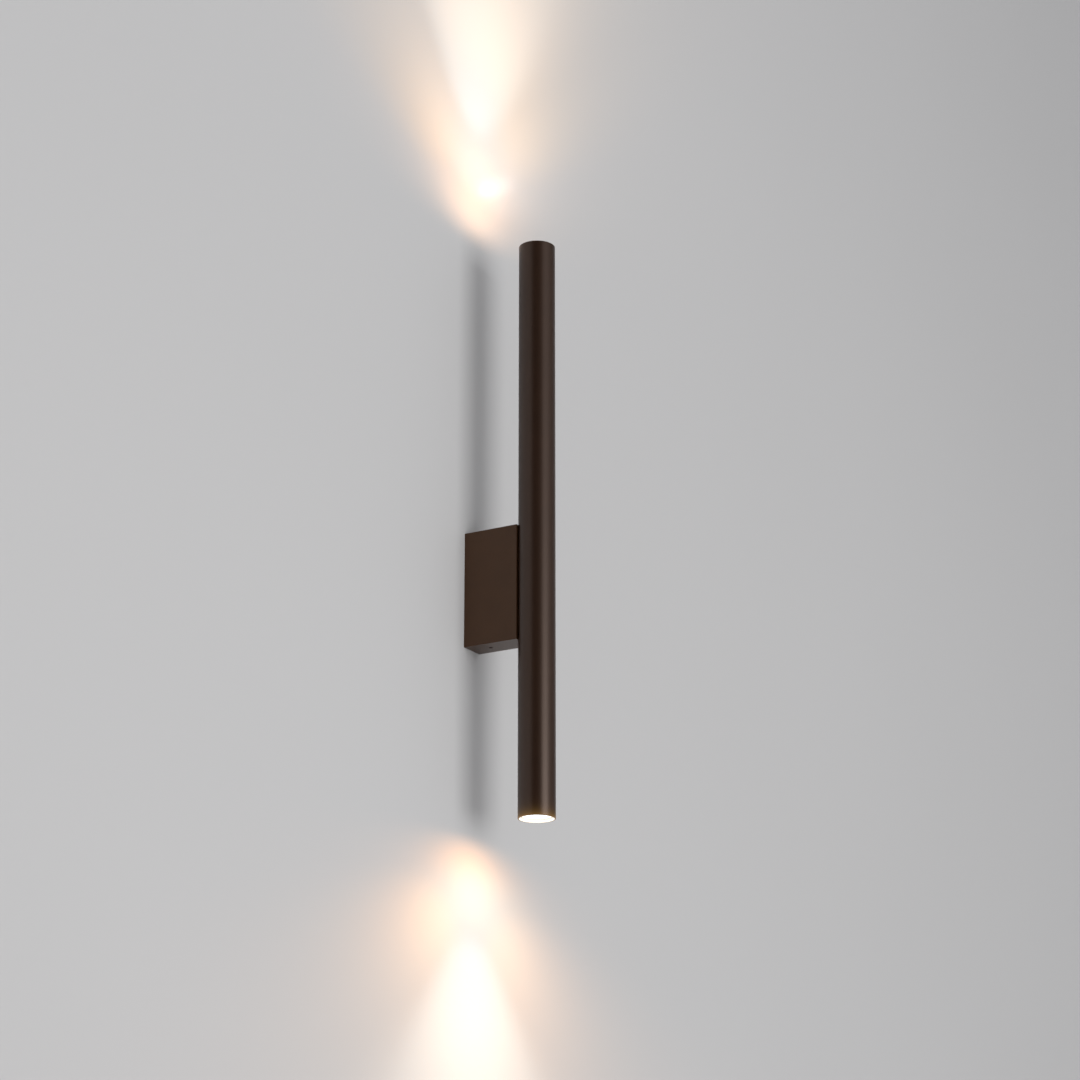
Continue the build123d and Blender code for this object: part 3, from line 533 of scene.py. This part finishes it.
def one_sided(name, colour, grain_size):
    """Matt paint that is solid from its front and clear from behind, so that rear views see the light."""
    matt = Shader(name, colour, roughness=0.85, specular=0.2)
    roller = matt.noise(size=grain_size, detail=4.0)
    drift = matt.noise(size=ROOM_DRIFT_SIZE, detail=2.0)
    matt.mottle(drift, colour, tuple(channel * ROOM_DRIFT for channel in colour))
    matt.bump(roller, depth=0.05 * MM, strength=0.2)
    clear = matt.add("ShaderNodeBsdfTransparent")
    behind = matt.add("ShaderNodeNewGeometry").outputs["Backfacing"]
    blend = matt.add("ShaderNodeMixShader")
    for source, target in zip((behind, matt.bsdf.outputs["BSDF"], clear.outputs["BSDF"]), blend.inputs):
        matt.join(source, target)
    output = matt.tree.nodes["Material Output"]
    matt.join(blend.outputs["Shader"], output.inputs["Surface"])
    return matt


def rectangle(low_x, high_x, low_y, high_y):
    """The corners of a rectangle in the XY plane, anticlockwise from above."""
    return [(low_x, low_y, 0), (high_x, low_y, 0), (high_x, high_y, 0), (low_x, high_y, 0)]


def stage_mesh(name, corners, faces, shader):
    """A flat piece of the room."""
    mesh = bpy.data.meshes.new(name)
    mesh.from_pydata(corners, [], faces)
    mesh.materials.append(shader.material)
    piece = bpy.data.objects.new(name, mesh)
    bpy.context.scene.collection.objects.link(piece)
    return piece


def wall():
    """The wall, open just behind the light's box, where a plate and a cable fill it."""
    half = BOX_HIGH.x - HOLE_MARGIN
    low, high = BOX_LOW.z + HOLE_MARGIN, BOX_HIGH.z - HOLE_MARGIN
    outer = rectangle(-WALL_HALF_WIDTH, WALL_HALF_WIDTH, FLOOR_LEVEL, WALL_TOP)
    inner = rectangle(-half, half, low, high)
    upright = [(x, 0, z) for x, z, _ in outer + inner]
    faces = [(turn, (turn + 1) % 4, 4 + (turn + 1) % 4, 4 + turn) for turn in range(4)]
    stage_mesh("room_wall", upright, faces, one_sided("wall_paint", WALL_COLOUR, grain_size=3 * MM))


def floor():
    """A pale floor, well below the light."""
    corners = rectangle(-FLOOR_REACH, FLOOR_REACH, -FLOOR_REACH, FLOOR_REACH)
    level = [(x, y, FLOOR_LEVEL) for x, y, _ in corners]
    stage_mesh("room_floor", level, [(0, 1, 2, 3)], one_sided("floor_paint", FLOOR_COLOUR, grain_size=4 * MM))


def world():
    """A pale plain room, at one level as it is seen and another as it lights matt surfaces."""
    made = bpy.data.worlds.new("room")
    made.use_nodes = True
    tree = made.node_tree
    background = tree.nodes["Background"]
    background.inputs["Color"].default_value = (*ROOM_COLOUR, 1.0)
    path = tree.nodes.new("ShaderNodeLightPath")
    seen = path.outputs["Is Camera Ray"]
    for kind in ("Is Glossy Ray", "Is Transmission Ray"):
        either = tree.nodes.new("ShaderNodeMath")
        either.operation = "MAXIMUM"
        tree.links.new(seen, either.inputs[0])
        tree.links.new(path.outputs[kind], either.inputs[1])
        seen = either.outputs["Value"]
    level = tree.nodes.new("ShaderNodeMapRange")
    level.inputs["To Min"].default_value = ROOM_FILL
    level.inputs["To Max"].default_value = ROOM_SEEN
    tree.links.new(seen, level.inputs["Value"])
    tree.links.new(level.outputs["Result"], background.inputs["Strength"])
    bpy.context.scene.world = made


# ---------------------------------------------------------------- studio lamp and flags

KEY_DIRECTION = Vector((-0.16, -0.97, -0.125))       # from the tube's middle towards the lamp
KEY_DISTANCE = 3.4
KEY_WIDTH, KEY_HEIGHT = 2.30, 2.04
KEY_RADIANCE = 4.75

FLAG_DISTANCE = 3.0
FLAG_HEIGHT = 4.4


class Flag(NamedTuple):
    """A card at the side of the room that shapes the tube's reflections."""
    direction: Vector      # from the tube's middle
    width: float
    grey: float            # how light its cloth is


LEFT_FLAG = Flag(Vector((-0.87, -0.49, 0.22)), width=4.0, grey=0.02)
RIGHT_FLAG = Flag(Vector((0.82, -0.57, 0.22)), width=3.0, grey=0.42)


def turn_along(piece, direction):
    """Turn an object so that its -Z axis points along a direction."""
    piece.rotation_mode = "QUATERNION"
    piece.rotation_quaternion = direction.to_track_quat("-Z", "Y")


def key_softbox():
    """The large soft lamp on the left of the light, facing it."""
    lamp = bpy.data.lights.new("key", "AREA")
    lamp.shape = "RECTANGLE"
    lamp.size, lamp.size_y = KEY_WIDTH, KEY_HEIGHT
    lamp.energy = KEY_RADIANCE * math.pi * KEY_WIDTH * KEY_HEIGHT
    lamp.color = KEY_COLOUR
    piece = bpy.data.objects.new("key", lamp)
    direction = KEY_DIRECTION.normalized()
    piece.location = TUBE_AXIS + direction * KEY_DISTANCE
    turn_along(piece, -direction)
    piece.visible_camera = False
    bpy.context.scene.collection.objects.link(piece)


def flag(name, card):
    """A cloth card that shows only in reflections."""
    cloth = Shader(f"{name}_cloth", (card.grey,) * 3, roughness=0.9, specular=0.1)
    weave = cloth.noise(size=2 * MM)
    cloth.bump(weave, depth=0.2 * MM, strength=0.3)
    corners = rectangle(-card.width / 2, card.width / 2, -FLAG_HEIGHT / 2, FLAG_HEIGHT / 2)
    piece = stage_mesh(name, corners, [(0, 1, 2, 3)], cloth)
    direction = card.direction.normalized()
    piece.location = TUBE_AXIS + direction * FLAG_DISTANCE
    turn_along(piece, -direction)
    piece.visible_camera = False
    piece.visible_shadow = False
    piece.visible_diffuse = False


# ---------------------------------------------------------------- the light's own beams

class Beam(NamedTuple):
    """One soft spot in an LED's light."""
    half_angle: float      # degrees
    blend: float           # softness of its edge, 0 to 1
    aim: tuple             # steps to the right and towards the wall, for each step along the tube
    candela: tuple         # red, green and blue


LOWER_BEAMS = {
    "core": Beam(35, 0.45, (0.02, 0.03), (0.030, 0.045, 0.050)),
    "right_wing": Beam(51, 1.0, (0.60, -0.20), (0.190, 0.085, 0.023)),
    "left_wing": Beam(45, 1.0, (-0.60, 0.00), (0.115, 0.047, 0.006)),
    "throw": Beam(59, 1.0, (0.02, -0.56), (1.10, 0.88, 0.65)),
    "spill": Beam(80, 1.0, (0.06, -0.15), (0.030, 0.040, 0.037)),
    "halo": Beam(88, 0.5, (0.00, 0.00), (0.026, 0.012, 0.004)),
}
UPPER_BEAMS = {
    "core": Beam(30, 0.45, (0.00, -0.02), (0.080, 0.100, 0.100)),
    "right_wing": Beam(33, 1.0, (0.44, -0.07), (0.250, 0.130, 0.023)),
    "left_wing": Beam(39, 1.0, (-0.60, 0.00), (0.085, 0.040, 0.001)),
    "throw": Beam(55, 1.0, (0.02, -0.64), (3.60, 2.50, 1.60)),
    "spill": Beam(68, 1.0, (0.12, -0.32), (0.110, 0.096, 0.083)),
    "halo": Beam(84, 1.0, (-0.06, -0.07), (0.068, 0.040, 0.022)),
}
LAMP_PAST_END = 1.0 * MM         # the beams start this far outside the tube
BEAM_SOURCE = 5 * MM             # radius of the lamp that sends a beam

STRAY_RIGHT = 30 * MM            # where the stray spot falls on the wall: right of the tube's axis
STRAY_ABOVE = 81 * MM            # and above the tube's end
STRAY_HALF_ANGLE, STRAY_BLEND = 4.0, 0.8
STRAY_WIDTH = 4.5                # how many times wider than high its cone is
STRAY_CANDELA = (0.020, 0.018, 0.018)
STRAY_SOURCE = 2 * MM


def beam(name, place, aim, half_angle, blend, candela, source, widen=1.0):
    """A spot lamp of a given half angle, in degrees, soft by its blend, and widened sideways where asked."""
    lamp = bpy.data.lights.new(name, "SPOT")
    lamp.spot_size = math.radians(2 * half_angle)
    lamp.spot_blend = blend
    brightest = max(candela)
    lamp.energy = brightest * 4 * math.pi
    lamp.color = [channel / brightest for channel in candela]
    lamp.shadow_soft_size = source
    piece = bpy.data.objects.new(name, lamp)
    piece.location = place
    turn_along(piece, aim)
    piece.scale = (widen, 1.0, 1.0)
    piece.visible_camera = False
    bpy.context.scene.collection.objects.link(piece)


def lamp_place(end, up):
    """Where an end's beams start: on the axis, just past it; up is 1 at the upper end, -1 at the lower."""
    return Vector((TUBE_AXIS.x, TUBE_AXIS.y, end + up * LAMP_PAST_END))


def led_light(name, end, up, beams):
    """The light out of one end of the tube."""
    place = lamp_place(end, up)
    for part, (half_angle, blend, aim, candela) in beams.items():
        beam(f"{name}_{part}", place, Vector((*aim, up)), half_angle, blend, candela, BEAM_SOURCE)


def stray_beam():
    """The small hot spot that the upper lens throws on the wall, just above the tube."""
    place = lamp_place(TUBE_HIGH.z, up=1)
    spot = Vector((STRAY_RIGHT, 0, TUBE_HIGH.z + STRAY_ABOVE))
    beam("upper_led_stray", place, spot - place, STRAY_HALF_ANGLE, STRAY_BLEND, STRAY_CANDELA, STRAY_SOURCE,
         widen=STRAY_WIDTH)


def lights():
    """The studio's soft lamp and flags, and the light out of both ends of the tube."""
    key_softbox()
    flag("room_flag_left", LEFT_FLAG)
    flag("room_flag_right", RIGHT_FLAG)
    led_light("lower_led", TUBE_LOW.z, up=-1, beams=LOWER_BEAMS)
    led_light("upper_led", TUBE_HIGH.z, up=1, beams=UPPER_BEAMS)
    stray_beam()


# ---------------------------------------------------------------- camera

CAMERA_PLACE = Vector((-1.9103, -1.1790, -0.6937))
CAMERA_YAW = math.radians(59.722)        # from +Y towards +X
CAMERA_PITCH = math.radians(18.244)      # above the horizon
CAMERA_LENS = 96.6                       # mm
CAMERA_SENSOR = 36.0                     # mm wide
CAMERA_NEAR, CAMERA_FAR = 0.05, 60.0


def camera():
    """The camera where the photograph was taken."""
    made = bpy.data.cameras.new("camera")
    made.lens = CAMERA_LENS
    made.sensor_width = CAMERA_SENSOR
    made.clip_start, made.clip_end = CAMERA_NEAR, CAMERA_FAR
    piece = bpy.data.objects.new("camera", made)
    piece.location = CAMERA_PLACE
    piece.rotation_euler = (math.pi / 2 + CAMERA_PITCH, 0, -CAMERA_YAW)
    bpy.context.scene.collection.objects.link(piece)
    bpy.context.scene.camera = piece


# ---------------------------------------------------------------- scene

finish_surfaces()
wall()
floor()
world()
lights()
camera()
bpy.context.scene.view_settings.view_transform = "Standard"
